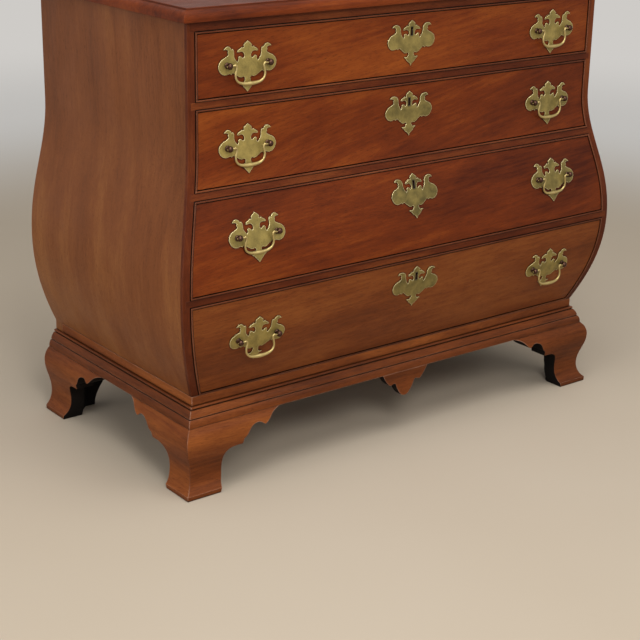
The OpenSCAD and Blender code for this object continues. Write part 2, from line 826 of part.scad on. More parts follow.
// Dovetails at both ends of drawer k's front, as cut into its inner face
module tails(k) {
    z0 = open_low(k) + slide_gap + bottom_raise + box_bottom_t + tail_margin;
    z1 = open_high(k) - side_drop - tail_margin;
    count = floor((z1 - z0 + tail_gap) / (tail_h + tail_gap));
    pitch = (z1 - z0 + tail_gap) / count;
    y0 = front_back(k) - tail_l;
    y1 = front_back(k);
    for (i = [0 : count - 1]) {
        low = z0 + i * pitch;
        high = low + pitch - tail_gap;
        polygon([[y0, low - tail_flare], [y0, high + tail_flare], [y1, high], [y1, low]]);
    }
}

module tail_solids(k) {
    for (s = [0, 1]) mirror([s, 0, 0]) run_x(box_half(k) - box_t, box_half(k)) tails(k);
}

module drawer_front(k) {
    z0 = open_low(k) + front_gap;
    z1 = open_high(k) - front_gap;
    y1 = front_back(k);
    zk = keyhole_z(k);
    color("brown") difference() {
        intersection() {
            run_y(front_y(belly_z) - cut, y1) width_outline(z0, z1, opening_inset + front_gap);
            run_x(-far, far) flat_back_outline(z0, z1, y1);
        }
        tail_solids(k);
        bottom_panel(k);
        block([-lock_w / 2, lock_y(k), zk - lock_under], [lock_w / 2, y1 + cut, z1 + cut]);
        run_y(front_y(belly_z) - cut, lock_y(k) + cut) translate([0, zk]) keyhole_outline(key_room);
        each_post(k) {
            rod_y(shank_r + shank_play, -cut, post_grip + cut);
            rod_y(nut_r + nut_room, post_grip, far / 20);
        }
    }
}

module drawer_sides(k) {
    z0 = open_low(k) + slide_gap;
    z1 = open_high(k) - side_drop;
    color("burlywood") {
        for (s = [0, 1]) mirror([s, 0, 0]) difference() {
            union() {
                block([box_half(k) - box_t, front_back(k), z0], [box_half(k), box_rear(k), z1]);
                run_x(box_half(k) - box_t, box_half(k)) tails(k);
            }
            bottom_panel(k);
            back_panel(k);
        }
    }
}

// Drawer back, housed in the sides and standing on the bottom
module back_panel(k) {
    half = box_half(k) - box_t / 2;
    y1 = box_rear(k) - box_t / 2;
    z0 = open_low(k) + slide_gap + bottom_raise + box_bottom_t;
    block([-half, y1 - box_t, z0], [half, y1, open_high(k) - side_drop - back_drop]);
}

module drawer_back(k) {
    color("burlywood") back_panel(k);
}

// Drawer bottom, in grooves of the front and the sides
module bottom_panel(k) {
    half = box_half(k) - box_t + groove_d;
    z0 = open_low(k) + slide_gap + bottom_raise;
    block([-half, front_back(k) - groove_d, z0], [half, box_rear(k), z0 + box_bottom_t]);
}

module drawer_bottom(k) {
    color("burlywood") bottom_panel(k);
}

// Right half of the brass plates' outline, from the lower tip to the upper tip, drawn at this width.
// The pulls' plates and the escutcheons differ at the tip and in the inner edge of the horn.
drawn_plate_w = 112;
key_tip = [
    [[0, -45.8], [2.5, -41.3], [5.4, -39.3], [8.6, -37.1], [11.5, -33.6], [16.5, -29.7]],
    [[16.5, -29.7], [13.4, -29], [10.2, -29.9], [7.7, -27.5], [5.4, -23.8]],
    [[5.4, -23.8], [7.7, -21], [12, -22.5], [16.8, -21], [22.3, -16.8], [27.5, -12.8]]];
pull_tip = [
    [[0, -44.2], [3.7, -40], [7.2, -36.6], [9.6, -33.7], [14.6, -30.7]],
    [[14.6, -30.7], [8.6, -30.4], [5.6, -26.6], [5.2, -21.6]],
    [[5.2, -21.6], [8, -19.4], [12, -20.6], [17, -19.1], [22.5, -15.6], [27.5, -12.8]]];
plate_low = [
    [[27.5, -12.8], [29.8, -12.9], [31.8, -14.9]],
    [[31.8, -14.9], [35, -12.8], [40.5, -14.4], [46.5, -13.9], [51.8, -10.6], [55.4, -4.7], [56, 1],
     [53.4, 6.6], [48.4, 11], [43, 13.2], [38.5, 15.6]],
    [[38.5, 15.6], [36.9, 17.8], [38.4, 20.2], [37.4, 22.4], [38.8, 24.6], [42, 25.5], [46, 25.4]]];
key_horn = [
    [[46, 25.4], [44, 28.3], [39.5, 30], [33.9, 29.4], [29, 26.6], [26.7, 22], [26.6, 17], [24.6, 11.5],
     [19.8, 4.2]]];
pull_horn = [
    [[46, 25.4], [43.2, 28.4], [38.6, 30.3], [33.8, 28.6], [30.7, 24.4]],
    [[30.7, 24.4], [28.4, 25.4], [26.6, 22.4], [26.3, 17.4], [26, 12.6], [23.5, 8.6], [19.8, 4.2]]];
plate_high = [
    [[19.8, 4.2], [17.7, 7.3], [17.8, 10.6], [16, 12.7], [13, 12.4], [11, 10.4], [9, 9.3]],
    [[9, 9.3], [6.9, 11], [6.4, 14], [7.4, 17.3], [10.5, 19.9], [14, 20.2], [17.4, 19.5], [20, 19.9]],
    [[20, 19.9], [19.2, 22.3], [16.6, 24.2], [13.6, 25.4], [11.7, 27.6]],
    [[11.7, 27.6], [9.5, 26.5], [7.1, 27.3]],
    [[7.1, 27.3], [7.8, 29.9], [6.6, 32], [3.5, 34.2], [0, 36.8]]];
plate_top = [0, 36.8];

// Whole outline of a plate with the given tip and horn, at its real size
module plate_outline(tip, horn, size) {
    half = chain(concat(tip, plate_low, horn, plate_high), 2);
    scale(size) polygon(concat(half, [plate_top],
                               [for (i = [len(half) - 1 : -1 : 1]) [-half[i][0], half[i][1]]]));
}

plate_scale = plate_w / drawn_plate_w;
// Height in the outline of the posts and of the keyhole
plate_post_z = 0.5;
plate_key_z = 21.6;

// Keyhole with the given room round it
module keyhole_outline(room = 0) {
    circle(r = key_hole_r + room);
    top = key_slot_w / 2 - 0.5 + room;
    low = key_slot_w / 2 + room;
    polygon([[-top, 0], [top, 0], [low, -key_slot_h - room], [-low, -key_slot_h - room]]);
}

// Layer of brass on the face of drawer k
module plate_layer(k) {
    run_x(-far, far) face_outline(open_low(k) + front_gap, open_high(k) - front_gap, -plate_t, 0);
}

module drawer_plates(k) {
    reach = [front_y(belly_z) - far / 10, back_y];
    pull_scale = plate_scale * pull_plate_scale;
    color("goldenrod") {
        difference() {
            intersection() {
                run_y(reach[0], reach[1]) for (p = [-1, 1])
                    translate([p * pull_x, pull_z(k) - plate_post_z * pull_scale])
                        plate_outline(pull_tip, pull_horn, pull_scale);
                plate_layer(k);
            }
            each_post(k) rod_y(shank_r + shank_play, -3 * plate_t, 3 * plate_t);
        }
        intersection() {
            run_y(reach[0], reach[1]) translate([0, keyhole_z(k)]) difference() {
                translate([0, -plate_key_z * plate_scale]) plate_outline(key_tip, key_horn, plate_scale);
                keyhole_outline();
            }
            plate_layer(k);
        }
    }
}

// Post along its own axis: ball, stem, collar on the plate, and threaded shank
module post_solid() {
    collar_r = stem_r + 1.9;
    collar_y = -plate_t - glue_line;
    collar_t = 1.4;
    translate([0, -pivot_out, 0]) rotate([0, 90, 0]) difference() {
        sphere(r = ball_r);
        cylinder(r = pin_r + pin_play, h = 4 * ball_r, center = true);
    }
    rod_y(stem_r, -pivot_out + pin_r + cut, collar_y - collar_t / 2);
    rod_y(collar_r, collar_y - collar_t, collar_y);
    rod_y(shank_r, collar_y - collar_t / 2, post_grip + nut_t + 2 * cut);
}

module drawer_posts(k) {
    color("darkgoldenrod") {
        each_post(k) post_solid();
        each_post(k) difference() {
            rod_y(nut_r, post_grip + glue_line, post_grip + glue_line + nut_t);
            rod_y(shank_r + glue_line, post_grip - cut, post_grip + nut_t + 2 * cut);
        }
    }
}

// Bail

// Centre line of the right half, from the middle of the grip to the hook, with the radius there
arm_r = 1.9;
hook_x = post_span / 2 - 8.5;
bail_half = smooth([
    [0, -bail_drop, grip_r], [9, 0.2 - bail_drop, grip_r - 0.5],
    [hook_x - 14.5, 1.7 - bail_drop, arm_r + 0.7], [hook_x - 7.7, 5 - bail_drop, arm_r + 0.2],
    [hook_x - 4, 10 - bail_drop, arm_r], [hook_x - 3, 16 - bail_drop, arm_r],
    [hook_x - 4.2, -9, arm_r], [hook_x - 5.4, -4.5, arm_r], [hook_x - 4.8, -1, arm_r],
    [hook_x - 2.6, 0.6, arm_r], [hook_x, 0, pin_r]], 2);
bail_path = concat([[hook_x, 0, pin_r]], reversed(bail_half),
                   [for (i = [1 : len(bail_half) - 1]) let (p = bail_half[i]) [-p[0], p[1], p[2]]],
                   [[-hook_x, 0, pin_r]]);

// Round tube along a flat path in X and Z, with the radius given at each point
module flat_tube(path, sides) {
    n = len(path);
    function heading(i) = let (v = path[min(i + 1, n - 1)] - path[max(i - 1, 0)]) atan2(v[1], v[0]);
    points = [for (i = [0 : n - 1]) for (j = [0 : sides - 1])
        let (a = 360 * j / sides, h = heading(i), p = path[i])
        [p[0] - p[2] * cos(a) * sin(h), p[2] * sin(a), p[1] + p[2] * cos(a) * cos(h)]];
    walls = [for (i = [0 : n - 2]) for (j = [0 : sides - 1])
        let (a = i * sides + j, b = i * sides + (j + 1) % sides)
        each [[a, b, b + sides], [a, b + sides, a + sides]]];
    lids = [[for (j = [sides - 1 : -1 : 0]) j], [for (j = [0 : sides - 1]) (n - 1) * sides + j]];
    polyhedron(points, concat(walls, lids));
}

// Bail about its axis, with pins that end inside the posts' balls
module bail_solid() {
    pin_start = hook_x - 0.5;
    pin_end = post_span / 2 + ball_r - cut;
    rotate([0, 0, 180]) flat_tube(bail_path, 10);
    for (s = [0, 1]) mirror([s, 0, 0]) translate([pin_start, 0, 0]) rotate([0, 90, 0])
        cylinder(r = pin_r, h = pin_end - pin_start);
}

// Place of the bail's axis on drawer k
function axis_y(k) = front_y(pull_z(k)) - pivot_out * cos(lean(pull_z(k)));
function axis_z(k) = pull_z(k) - pivot_out * sin(lean(pull_z(k)));
// Angle at which the hanging bail meets its plate, or 0 where it hangs free
function bail_lean(k) =
    let (touch_y = front_y(axis_z(k) - bail_drop) - plate_t - bail_gap - grip_r)
    asin(max(0, (axis_y(k) - touch_y) / bail_drop));

module drawer_bail(k, s) {
    color("gold") translate([s * pull_x, axis_y(k), axis_z(k)]) rotate([-bail_lean(k), 0, 0]) bail_solid();
}

// Lock

// A bolt at rest ends this far under the top of its lock
bolt_sink = 0.5;

module bolt_box(k, play, z0, z1) {
    half_w = bolt_w / 2 + play;
    half_t = bolt_t / 2 + play;
    yc = lock_y(k) + lock_t / 2;
    block([-half_w, yc - half_t, z0], [half_w, yc + half_t, z1]);
}

function bolt_low(k) = lock_top(k) - bolt_sink - bolt_l;

module drawer_lock(k) {
    zk = keyhole_z(k);
    color("goldenrod") difference() {
        block([-lock_w / 2, lock_y(k), zk - lock_under], [lock_w / 2, lock_y(k) + lock_t, lock_top(k)]);
        bolt_box(k, bolt_play, bolt_low(k) - bolt_play, lock_top(k) + cut);
        run_y(lock_y(k) - cut, lock_y(k) + lock_t / 2) translate([0, zk]) keyhole_outline(key_room);
    }
}

module drawer_bolt(k) {
    color("silver") bolt_box(k, 0, bolt_low(k), lock_top(k) - bolt_sink);
}

// Mortise over the bolt of drawer k, in the rail above it
module bolt_mortise(k) {
    bolt_box(k, 2 * bolt_play, open_high(k) - cut, open_high(k) + bolt_throw);
}

top_board();
side_left();
side_right();
back_boards();
bottom_board();
front_stiles();
top_rail();
drawer_rails();
cock_beads();
runners_and_kickers();
drawer_stops();
base_frame();
plinth_band();
base_moulding();
foot_front_left();
foot_front_right();
foot_rear_left();
foot_rear_right();
foot_blocks();
pendant();
drawer_front(1);  // drawer_1_front
drawer_sides(1);  // drawer_1_sides
drawer_back(1);  // drawer_1_back
drawer_bottom(1);  // drawer_1_bottom
drawer_plates(1);  // drawer_1_plates
drawer_posts(1);  // drawer_1_posts
drawer_bail(1, -1);  // drawer_1_bail_left
drawer_bail(1, 1);  // drawer_1_bail_right
drawer_lock(1);  // drawer_1_lock
drawer_bolt(1);  // drawer_1_bolt
drawer_front(2);  // drawer_2_front
drawer_sides(2);  // drawer_2_sides
drawer_back(2);  // drawer_2_back
drawer_bottom(2);  // drawer_2_bottom
drawer_plates(2);  // drawer_2_plates
drawer_posts(2);  // drawer_2_posts
drawer_bail(2, -1);  // drawer_2_bail_left
drawer_bail(2, 1);  // drawer_2_bail_right
drawer_lock(2);  // drawer_2_lock
drawer_bolt(2);  // drawer_2_bolt
drawer_front(3);  // drawer_3_front
drawer_sides(3);  // drawer_3_sides
drawer_back(3);  // drawer_3_back
drawer_bottom(3);  // drawer_3_bottom
drawer_plates(3);  // drawer_3_plates
drawer_posts(3);  // drawer_3_posts
drawer_bail(3, -1);  // drawer_3_bail_left
drawer_bail(3, 1);  // drawer_3_bail_right
drawer_lock(3);  // drawer_3_lock
drawer_bolt(3);  // drawer_3_bolt
drawer_front(4);  // drawer_4_front
drawer_sides(4);  // drawer_4_sides
drawer_back(4);  // drawer_4_back
drawer_bottom(4);  // drawer_4_bottom
drawer_plates(4);  // drawer_4_plates
drawer_posts(4);  // drawer_4_posts
drawer_bail(4, -1);  // drawer_4_bail_left
drawer_bail(4, 1);  // drawer_4_bail_right
drawer_lock(4);  // drawer_4_lock
drawer_bolt(4);  // drawer_4_bolt
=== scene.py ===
import json
import math
import random

import bpy
import numpy as np
from mathutils import Matrix, Vector


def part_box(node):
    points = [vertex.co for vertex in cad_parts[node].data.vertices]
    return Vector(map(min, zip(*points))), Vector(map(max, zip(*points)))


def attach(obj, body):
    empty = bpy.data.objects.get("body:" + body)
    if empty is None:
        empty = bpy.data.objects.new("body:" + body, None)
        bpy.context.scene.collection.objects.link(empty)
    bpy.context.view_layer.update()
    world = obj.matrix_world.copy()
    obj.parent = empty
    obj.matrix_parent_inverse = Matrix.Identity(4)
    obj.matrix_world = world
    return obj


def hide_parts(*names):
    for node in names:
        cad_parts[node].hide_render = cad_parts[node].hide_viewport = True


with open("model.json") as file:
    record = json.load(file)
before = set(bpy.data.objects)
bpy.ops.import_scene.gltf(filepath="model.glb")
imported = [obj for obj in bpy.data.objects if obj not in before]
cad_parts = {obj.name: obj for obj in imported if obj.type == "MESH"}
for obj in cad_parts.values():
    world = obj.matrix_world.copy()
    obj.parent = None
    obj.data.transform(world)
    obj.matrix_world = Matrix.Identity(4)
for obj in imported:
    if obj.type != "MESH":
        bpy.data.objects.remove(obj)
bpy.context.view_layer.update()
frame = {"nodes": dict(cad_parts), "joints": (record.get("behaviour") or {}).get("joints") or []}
nodes = frame["nodes"]
joints = {j["name"]: j for j in frame["joints"]}
DRAWERS = (1, 2, 3, 4)


def rgb(r, g, b):
    """Linear colour from the usual 0 to 255 numbers."""
    def linear(c):
        c /= 255
        return c / 12.92 if c <= 0.04045 else ((c + 0.055) / 1.055) ** 2.4
    return (linear(r), linear(g), linear(b), 1.0)


# Materials

EDGE_SAMPLES = 6
# Painted shade and grime: the colour wood darkens to in its corners, gaps and recesses
SHADE_AND_GRIME = rgb(20, 9, 6)
SHADE_AND_GRIME_SHARE = 0.85
# Painted shade and grime: the near-black of narrow gaps and quirks
CREVICE_SHADE_AND_GRIME = rgb(16, 7, 5)
DUST = rgb(150, 128, 108)
DARK_BRASS = rgb(38, 28, 14)
# Painted shade: the near-black that stands for the dark of a keyhole
KEYHOLE_SHADE = rgb(26, 19, 10)
KEYHOLE_SHADE_HALF_WIDTH = 0.0032
KEYHOLE_SHADE_HALF_HEIGHT = 0.0082


class Shader:
    """Short hand for the nodes of one material."""

    def __init__(self, name):
        self.material = bpy.data.materials.new(name)
        self.material.use_nodes = True
        self.tree = self.material.node_tree
        self.tree.nodes.clear()
        self.output = self.tree.nodes.new("ShaderNodeOutputMaterial")

    def node(self, kind, inputs=None, **settings):
        made = self.tree.nodes.new(kind)
        for key, value in settings.items():
            setattr(made, key, value)
        for key, value in (inputs or {}).items():
            self.put(made.inputs[key], value)
        return made

    def put(self, socket, value):
        if isinstance(value, bpy.types.NodeSocket):
            self.tree.links.new(value, socket)
        else:
            socket.default_value = value

    def math(self, operation, a, b=0.0, clamp=False):
        made = self.node("ShaderNodeMath", {0: a, 1: b}, operation=operation, use_clamp=clamp)
        return made.outputs[0]

    def vector(self, operation, a, b):
        return self.node("ShaderNodeVectorMath", {0: a, 1: b}, operation=operation).outputs[0]

    def attribute(self, name, output="Fac"):
        return self.node("ShaderNodeAttribute", attribute_name=name).outputs[output]

    def noise(self, place, scale, detail, roughness=0.5, distortion=0.0, move=None):
        if move:
            place = self.vector("ADD", place, move)
        made = self.node("ShaderNodeTexNoise", {
            "Vector": self.vector("MULTIPLY", place, scale), "Scale": 1.0, "Detail": detail,
            "Roughness": roughness, "Distortion": distortion})
        return made.outputs[0]

    def span(self, value, low, high, to_low=0.0, to_high=1.0, smooth=False):
        made = self.node("ShaderNodeMapRange", {
            "Value": value, "From Min": low, "From Max": high, "To Min": to_low, "To Max": to_high},
            interpolation_type="SMOOTHSTEP" if smooth else "LINEAR")
        return made.outputs[0]

    def mix(self, factor, a, b):
        made = self.node("ShaderNodeMix", data_type="RGBA", blend_type="MIX")
        self.put(made.inputs[0], factor)
        self.put(made.inputs[6], a)
        self.put(made.inputs[7], b)
        return made.outputs[2]

    def tint(self, colour, mask, amount, other):
        """Mixes another colour in, by the amount where the mask is one."""
        return self.mix(self.math("MULTIPLY", mask, amount), colour, other)

    def ramp(self, value, stops):
        made = self.node("ShaderNodeValToRGB", {"Fac": value})
        elements = made.color_ramp.elements
        while len(elements) < len(stops):
            elements.new(0.5)
        for element, (place, colour) in zip(elements, stops):
            element.position = place
            element.color = colour
        return made.outputs[0]

    def occlusion(self, distance):
        made = self.node("ShaderNodeAmbientOcclusion", {"Distance": distance}, samples=EDGE_SAMPLES)
        return made.outputs["AO"]

    def edges(self, radius):
        """The normal with edges rounded off, the plain normal, and how far the two agree."""
        rounded = self.node("ShaderNodeBevel", {"Radius": radius}, samples=EDGE_SAMPLES).outputs[0]
        normal = self.node("ShaderNodeNewGeometry").outputs["Normal"]
        agree = self.node("ShaderNodeVectorMath", {0: rounded, 1: normal}, operation="DOT_PRODUCT")
        return rounded, normal, agree.outputs["Value"]

    def bump(self, height, strength, distance, normal):
        return self.node("ShaderNodeBump", {"Height": height, "Strength": strength,
                                            "Distance": distance, "Normal": normal}).outputs[0]

    def surface(self, **inputs):
        made = self.node("ShaderNodeBsdfPrincipled",
                         {key.replace("_", " "): value for key, value in inputs.items()})
        self.tree.links.new(made.outputs[0], self.output.inputs[0])
        return self.material


def wood(name, dark, mid, light, pore, streak=1.0, figure=1.0, blotch=0.9, mottle=0.4, sheen=0.12,
         rough=0.42, dust=0.0, wear_and_highlight=0.0, wear_and_highlight_colour=None, glint=0.0, crevice_shade=0.0, soft=0.0008):
    """Planed timber under an old finish, with painted shade and grime in its recesses and its edges
    painted pale, as abrasion and painted highlights. The grain runs along the first number of the
    attribute.
    """
    s = Shader(name)
    grain = s.attribute("grain", "Vector")
    tone = s.attribute("tone")
    bend = s.noise(grain, (1.6, 6.0, 6.0), 2.0)
    bend = s.math("MULTIPLY", s.math("SUBTRACT", bend, 0.5), 0.04)
    shift = s.node("ShaderNodeCombineXYZ", {"Y": bend, "Z": bend}).outputs[0]
    place = s.vector("ADD", grain, shift)
    broad = s.noise(place, (1.2, 16.0, 16.0), 3.0, 0.55)
    lines = s.noise(place, (5.0, 150.0, 150.0), 4.0, 0.65)
    fine = s.noise(place, (32.0, 680.0, 680.0), 2.0, 0.6)
    ribbon = s.noise(place, (5.5, 9.0, 9.0), 3.0, 0.55, 0.8, move=(7.3, 2.1, 4.4))
    dashes = s.noise(place, (22.0, 120.0, 120.0), 3.0, 0.55, 0.3, move=(1.9, 5.2, 8.8))
    cloud = s.noise(grain, (2.2, 4.6, 4.6), 2.0, 0.5, move=(3.1, 9.2, 1.7))
    level = s.math("ADD", tone, 0.5)
    for pattern, amount in ((broad, streak), (lines, 0.5 * streak), (fine, 0.25), (ribbon, 0.6 * figure),
                            (dashes, mottle), (cloud, blotch)):
        level = s.math("ADD", level, s.math("MULTIPLY", s.math("SUBTRACT", pattern, 0.5), amount))
    colour = s.ramp(s.math("ADD", level, 0.0, clamp=True), [(0.08, dark), (0.5, mid), (0.95, light)])
    pores = s.noise(place, (80.0, 1500.0, 1500.0), 1.0, 0.5)
    pores = s.span(pores, 0.58, 0.7, smooth=True)
    colour = s.tint(colour, pores, 0.5, pore)
    rounded, normal, agree = s.edges(soft)
    open_air = s.occlusion(0.007)
    edge = s.math("MULTIPLY", s.span(agree, 0.985, 0.9), s.span(open_air, 0.72, 0.95))
    # Convex edges painted pale: abrasion, and painted highlights where the light would glint on them
    if wear_and_highlight:
        patchy = s.noise(grain, (14.0, 20.0, 20.0), 4.0, 0.6, move=(2.0, 6.0, 3.0))
        rubbed_and_highlit = s.math("MULTIPLY", edge, s.span(patchy, 0.35, 0.6, 0.3, 1.0))
        rubbed_and_highlit = s.math("MULTIPLY", rubbed_and_highlit, s.attribute("edge_wear_and_highlight"))
        colour = s.tint(colour, rubbed_and_highlit, wear_and_highlight, wear_and_highlight_colour)
    # Painted shade and grime: darker wherever the surface is hemmed in, in corners, gaps and recesses
    colour = s.tint(colour, s.span(open_air, 0.2, 0.8, 1.0, 0.0), SHADE_AND_GRIME_SHARE, SHADE_AND_GRIME)
    # Painted shade and grime: near-black in narrow gaps and quirks, from a short occlusion test
    if crevice_shade:
        near = s.span(s.occlusion(0.003), 0.55, 0.93, 1.0, 0.0)
        colour = s.tint(colour, near, crevice_shade, CREVICE_SHADE_AND_GRIME)
    if dust:
        up = s.node("ShaderNodeSeparateXYZ", {0: normal}).outputs[2]
        veil = s.math("MULTIPLY", s.span(up, 0.2, 1.0, smooth=True),
                      s.noise(grain, (9.0, 9.0, 9.0), 4.0, 0.6))
        colour = s.tint(colour, veil, dust, DUST)
    smear = s.noise(grain, (6.0, 11.0, 11.0), 4.0, 0.6, move=(5.0, 1.0, 8.0))
    shine = s.math("ADD", s.span(smear, 0.3, 0.75, rough - 0.07, rough + 0.1),
                   s.math("MULTIPLY", pores, 0.15))
    shine = s.math("SUBTRACT", shine, s.math("MULTIPLY", edge, 0.2 * glint))
    height = s.math("ADD", s.math("MULTIPLY", pores, -0.5),
                    s.math("ADD", s.math("MULTIPLY", lines, 0.35), s.math("MULTIPLY", broad, 0.5)))
    return s.surface(Base_Color=colour, Roughness=shine, Normal=s.bump(height, 0.22, 0.0005, rounded),
                     Specular_IOR_Level=sheen)


def brass(name, dull, mid, bright, rough, metal=0.85, spots=0.5, rim=0.9, keyhole_shade=0.0):
    """Old cast metal: a mottled skin, edges painted bright as abrasion and highlights, darker in its
    recesses as tarnish and painted shade, and painted shade round a keyhole.
    """
    s = Shader(name)
    place = s.node("ShaderNodeTexCoord").outputs["Object"]
    cloud = s.noise(place, (60.0, 60.0, 60.0), 4.0, 0.55)
    speck = s.noise(place, (700.0, 700.0, 700.0), 3.0, 0.6, move=(0.3, 0.7, 0.1))
    level = s.math("ADD", s.span(cloud, 0.3, 0.7, 0.3, 0.7), s.attribute("tone"))
    colour = s.ramp(level, [(0.0, dull), (1.0, mid)])
    colour = s.tint(colour, s.span(speck, 0.58, 0.7), spots, dull)
    rounded, _, agree = s.edges(0.0018)
    # Convex edges painted bright: abrasion, and painted highlights where the rims would catch the light
    rubbed_and_highlit = s.math("MULTIPLY", s.span(agree, 0.985, 0.88), s.span(s.occlusion(0.006), 0.5, 0.85))
    colour = s.tint(colour, rubbed_and_highlit, rim, bright)
    # Darker in the recesses: tarnish, and painted shade where they would lie in shadow
    hollow_shade_and_tarnish = s.span(s.occlusion(0.004), 0.2, 0.75, 1.0, 0.0)
    colour = s.tint(colour, hollow_shade_and_tarnish, 0.75, DARK_BRASS)
    # Painted shade: a near-black patch over the keyhole opening
    if keyhole_shade:
        apart = s.node("ShaderNodeSeparateXYZ", {0: place}).outputs
        below = s.math("SUBTRACT", apart[2], s.attribute("keyhole"))
        across = s.math("DIVIDE", s.math("ABSOLUTE", apart[0]), KEYHOLE_SHADE_HALF_WIDTH)
        down = s.math("DIVIDE", s.math("ABSOLUTE", below), KEYHOLE_SHADE_HALF_HEIGHT)
        hole_shade = s.span(s.math("MAXIMUM", across, down), 0.85, 1.25, keyhole_shade, 0.0, smooth=True)
        colour = s.mix(hole_shade, colour, KEYHOLE_SHADE)
    shine = s.math("SUBTRACT", s.span(cloud, 0.3, 0.7, rough + 0.08, rough - 0.04),
                   s.math("MULTIPLY", rubbed_and_highlit, 0.12))
    height = s.math("ADD", s.math("MULTIPLY", speck, 0.5), cloud)
    return s.surface(Base_Color=colour, Metallic=metal, Roughness=shine,
                     Normal=s.bump(height, 0.2, 0.0004, rounded))


LOOKS = {
    "mahogany": wood("mahogany", dark=rgb(64, 21, 4), mid=rgb(104, 43, 10), light=rgb(138, 69, 21),
                     pore=rgb(40, 13, 3), crevice_shade=0.85),
    # The lowest drawer front, which faces down, is painted lighter and less red than the others, as
    # painted light from the floor
    "lower_mahogany": wood("lower_mahogany", dark=rgb(70, 32, 12), mid=rgb(108, 54, 21),
                           light=rgb(140, 80, 34), pore=rgb(44, 20, 9), streak=0.8, blotch=0.7,
                           crevice_shade=0.85),
    "rail_mahogany": wood("rail_mahogany", dark=rgb(54, 20, 7), mid=rgb(86, 37, 15),
                          light=rgb(122, 63, 28), pore=rgb(36, 13, 5), sheen=0.1, soft=0.0012,
                          wear_and_highlight=0.3, wear_and_highlight_colour=rgb(150, 92, 62), glint=0.3, crevice_shade=0.9),
    "bead_mahogany": wood("bead_mahogany", dark=rgb(66, 29, 14), mid=rgb(98, 49, 26),
                          light=rgb(128, 72, 40), pore=rgb(42, 17, 8), soft=0.0012, wear_and_highlight=0.75,
                          wear_and_highlight_colour=rgb(186, 136, 108), glint=0.4, crevice_shade=0.95),
    "moulding_wood": wood("moulding_wood", dark=rgb(70, 32, 12), mid=rgb(110, 56, 23),
                          light=rgb(152, 86, 38), pore=rgb(42, 17, 7), figure=0.8, mottle=0.4,
                          blotch=0.7, soft=0.002, wear_and_highlight=0.85, wear_and_highlight_colour=rgb(208, 164, 140), glint=0.6,
                          crevice_shade=0.75),
    "side_mahogany": wood("side_mahogany", dark=rgb(84, 43, 19), mid=rgb(117, 67, 34),
                          light=rgb(146, 95, 51), pore=rgb(64, 34, 16), streak=0.65, figure=0.6,
                          blotch=0.5, mottle=0.25, rough=0.4),
    "secondary_wood": wood("secondary_wood", dark=rgb(84, 58, 38), mid=rgb(122, 90, 60),
                           light=rgb(156, 124, 88), pore=rgb(66, 44, 28), rough=0.68, sheen=0.2,
                           figure=0.4, dust=0.25),
    "drawer_lining": wood("drawer_lining", dark=rgb(136, 100, 62), mid=rgb(172, 134, 90),
                          light=rgb(198, 166, 120), pore=rgb(112, 80, 48), rough=0.62, sheen=0.25,
                          figure=0.4),
    "blackened_wood": wood("blackened_wood", dark=rgb(12, 9, 8), mid=rgb(20, 16, 14),
                           light=rgb(30, 24, 20), pore=rgb(8, 6, 6), rough=0.75, sheen=0.1),
    "brass": brass("brass", rgb(72, 63, 25), rgb(182, 160, 88), rgb(252, 236, 180), metal=0.45,
                   rough=0.42, spots=0.7, rim=1.0, keyhole_shade=0.92),
    # Painted shade: the near-black inside walls of a keyhole
    "keyhole_shade_brass": brass("keyhole_shade_brass", rgb(14, 10, 6), rgb(22, 16, 10), rgb(26, 20, 12), metal=0.2,
                          rough=0.8, rim=0.0),
    "post_brass": brass("post_brass", rgb(58, 38, 32), rgb(92, 66, 54), rgb(150, 118, 96),
                        metal=0.95, rough=0.25, rim=0.4),
    "bail_brass": brass("bail_brass", rgb(168, 148, 92), rgb(202, 182, 124), rgb(236, 220, 168),
                        rough=0.34, spots=0.2),
    "steel": brass("steel", rgb(70, 66, 62), rgb(120, 116, 110), rgb(170, 166, 160), rough=0.38),
}


# Attributes that the materials read

SAME_PLACE = 2e-6
BOARD_TONES = 0.05
MIDDLE_PLATE = 0.1


def vertex_places(mesh):
    place = np.zeros(len(mesh.vertices) * 3)
    mesh.vertices.foreach_get("co", place)
    return place.reshape(-1, 3)


def write_levels(mesh, name, values):
    """Gives every vertex a number that a material can read."""
    levels = mesh.attributes.new(name, "FLOAT", "POINT")
    levels.data.foreach_set("value", values.astype(np.float32))


def solids_of(mesh):
    """The places of the vertices, and a list of vertex numbers for each separate solid."""
    place = vertex_places(mesh)
    count = len(place)
    keys = np.round(place / SAME_PLACE).astype(np.int64)
    parent = list(range(count))

    def root(i):
        while parent[i] != i:
            parent[i] = parent[parent[i]]
            i = parent[i]
        return i

    first = {}
    for i, key in enumerate(map(tuple, keys)):
        parent[root(i)] = root(first.setdefault(key, i))
    ends = np.zeros(len(mesh.edges) * 2, np.int64)
    mesh.edges.foreach_get("vertices", ends)
    for a, b in ends.reshape(-1, 2):
        parent[root(int(a))] = root(int(b))
    groups = {}
    for i in range(count):
        groups.setdefault(root(i), []).append(i)
    return place, sorted(groups.values(), key=lambda g: tuple(place[g].min(0).round(4)))


# Heights on a foot, and at each its share of the lighter tone, which is lighter wood and painted light
# from above, and of the pale edges, which are abrasion and painted highlights
KNEE_LIGHT_AND_TONE = ((0.065, 0.085, 0.115, 0.135), (0.0, 0.8, 1.0, 0.3))
FOOT_WEAR_AND_HIGHLIGHT = ((0.012, 0.03, 0.09, 0.11), (1.0, 0.15, 0.2, 1.0))
SIDE_KNEE = 0.4


